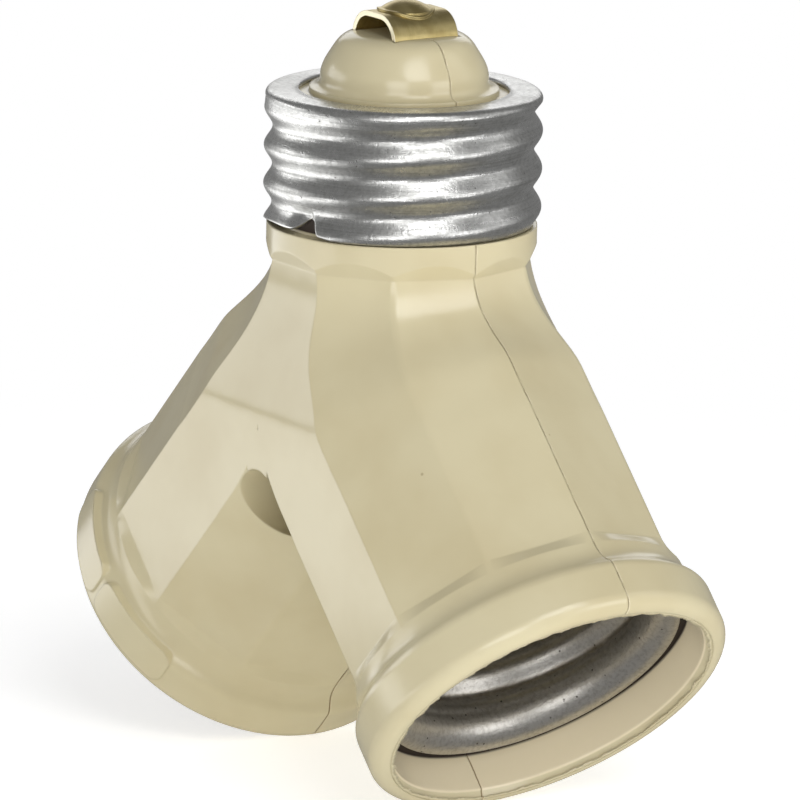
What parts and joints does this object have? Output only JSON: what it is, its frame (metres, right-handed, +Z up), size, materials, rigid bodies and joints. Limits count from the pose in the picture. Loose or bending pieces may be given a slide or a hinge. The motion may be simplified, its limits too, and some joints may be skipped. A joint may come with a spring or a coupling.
{
  "type": "lamp socket adapter",
  "caption": "Y-shaped lamp socket adapter: a screw base on top feeds screw sockets that splay out and down from a faceted ivory moulding.",
  "frame": {"origin": "centre of the screw base's lower edge, on the screw axis", "axes": "+Z up the screw axis towards the tip contact, +X towards the right socket arm, the moulding's front flat faces -Y"},
  "size_m": [0.078, 0.0357, 0.0741],
  "materials": {
    "housing": "glossy ivory thermoset moulding",
    "base_shell": "satin rolled sheet",
    "contact": "brushed spring brass",
    "socket_shell": "dull rolled sheet",
    "rivet": "dull"
  },
  "bodies": {
    "root": {"front_housing": "housing", "back_housing": "housing", "base_screw_shell": "base_shell", "contact_strip": "contact", "right_socket_shell": "socket_shell", "left_socket_shell": "socket_shell", "housing_rivet": "rivet"}
  },
  "joints": []
}
